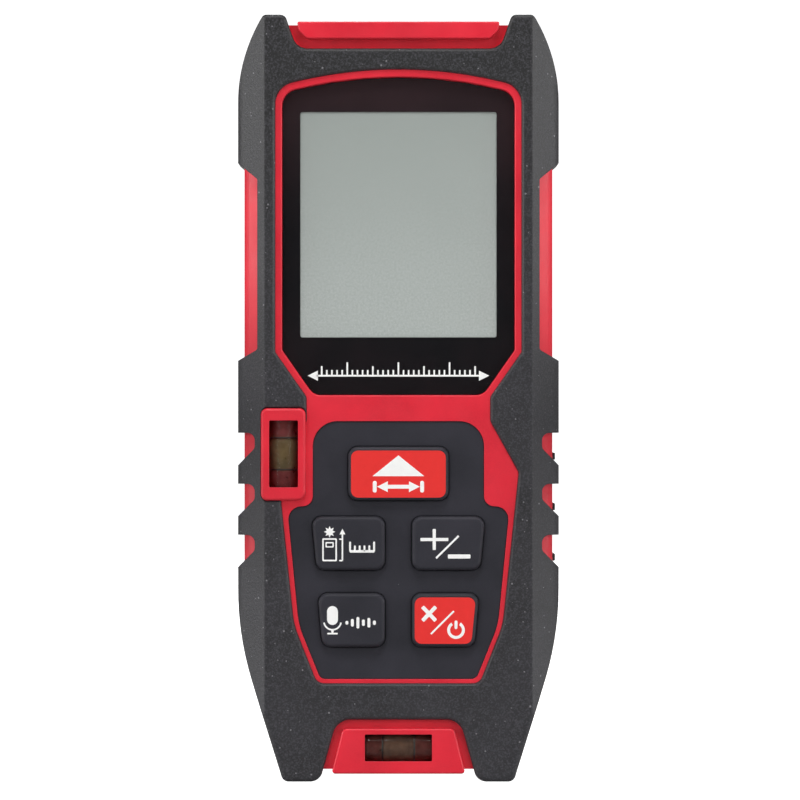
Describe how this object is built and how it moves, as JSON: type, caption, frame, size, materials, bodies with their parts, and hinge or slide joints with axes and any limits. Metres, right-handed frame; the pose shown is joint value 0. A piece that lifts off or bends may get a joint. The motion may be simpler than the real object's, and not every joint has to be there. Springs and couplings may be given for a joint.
{
  "type": "laser distance meter",
  "caption": "Hand-held laser distance meter: red shell in a black rubber grip with horns and feet, arched display, keypad and two spirit vials; measures length by laser.",
  "frame": {"origin": "on the plane that the two feet stand on, under the middle of the body", "axes": "+Z from the feet up to the laser end, -Y the display and keypad side, +X to the right of the display"},
  "size_m": [0.0504, 0.0268, 0.12],
  "materials": {
    "red_shell": "satin moulded ABS with a fine spark texture",
    "grip_rubber": "matt thermoplastic rubber, fine grain with pale specks",
    "keypad_rubber": "smooth matt silicone rubber, slightly bluish black",
    "dark_rubber": "matt",
    "window_acrylic": "gloss black back-printed acrylic with a clear middle",
    "lcd_glass": "grey-green reflective liquid crystal glass",
    "light_guide": "white light guide",
    "circuit_board": "green solder mask",
    "chip_plastic": "moulded black epoxy",
    "cover_plastic": "fine spark texture",
    "cell_wrap": "plain metallic sleeve",
    "contact_steel": "nickel plated",
    "screw_steel": "black zinc",
    "optics_acrylic": "deep red tinted acrylic",
    "clear_glass": "polished",
    "laser_brass": "turned",
    "bracket_plastic": "matt moulded",
    "vial_acrylic": "clear polished acrylic",
    "vial_liquid": "yellow-green liquid",
    "air_bubble": "clear"
  },
  "bodies": {
    "body": {"front_housing": "red_shell", "rear_housing": "red_shell", "front_overmould": "grip_rubber", "rear_overmould": "grip_rubber", "display_window": "window_acrylic", "lcd_panel": "lcd_glass", "lcd_backlight": "light_guide", "lcd_connector": "dark_rubber", "keypad_mat": "keypad_rubber", "main_board": "circuit_board", "board_chips": "chip_plastic", "battery_left": "cell_wrap", "battery_right": "cell_wrap", "battery_springs": "contact_steel", "battery_plates": "contact_steel", "optics_window": "optics_acrylic", "optics_chassis": "bracket_plastic", "receiver_lens": "clear_glass", "laser_module": "laser_brass", "laser_lens": "clear_glass", "receiver_board": "circuit_board", "light_sensor": "chip_plastic", "speaker": "bracket_plastic", "case_screws": "screw_steel", "board_screws": "screw_steel", "dome_switches": "contact_steel", "side_vial_tube": "vial_acrylic", "side_vial_plug": "vial_acrylic", "side_vial_liquid": "vial_liquid", "end_vial_tube": "vial_acrylic", "end_vial_plug": "vial_acrylic", "end_vial_liquid": "vial_liquid"},
    "battery_cover": {"battery_cover": "cover_plastic"},
    "clear_off_key": {"clear_off_key": "keypad_rubber"},
    "end_vial_bubble": {"end_vial_bubble": "air_bubble"},
    "function_key": {"function_key": "keypad_rubber"},
    "measure_key": {"measure_key": "keypad_rubber"},
    "plus_minus_key": {"plus_minus_key": "keypad_rubber"},
    "side_vial_bubble": {"side_vial_bubble": "air_bubble"},
    "unit_key": {"unit_key": "keypad_rubber"}
  },
  "joints": [
    {"name": "press_measure_key", "type": "slide", "parent": "body", "child": "measure_key", "axis": [0, 1, 0], "range_m": [0, 0.0008], "stiffness_N_per_m": 1500},
    {"name": "press_unit_key", "type": "slide", "parent": "body", "child": "unit_key", "axis": [0, 1, 0], "range_m": [0, 0.0008], "stiffness_N_per_m": 1500},
    {"name": "press_plus_minus_key", "type": "slide", "parent": "body", "child": "plus_minus_key", "axis": [0, 1, 0], "range_m": [0, 0.0008], "stiffness_N_per_m": 1500},
    {"name": "press_function_key", "type": "slide", "parent": "body", "child": "function_key", "axis": [0, 1, 0], "range_m": [0, 0.0008], "stiffness_N_per_m": 1500},
    {"name": "press_clear_off_key", "type": "slide", "parent": "body", "child": "clear_off_key", "axis": [0, 1, 0], "range_m": [0, 0.0008], "stiffness_N_per_m": 1500},
    {"name": "open_battery_cover", "type": "hinge", "parent": "body", "child": "battery_cover", "pos_m": [0, 0.0115, 0.0116], "axis": [-1, 0, 0], "range_deg": [0, 90]},
    {"name": "side_bubble_travel", "type": "slide", "parent": "body", "child": "side_vial_bubble", "axis": [0, 0, 1], "range_m": [-0.0026, 0.0026]},
    {"name": "end_bubble_travel", "type": "slide", "parent": "body", "child": "end_vial_bubble", "axis": [1, 0, 0], "range_m": [-0.0026, 0.0026]}
  ]
}
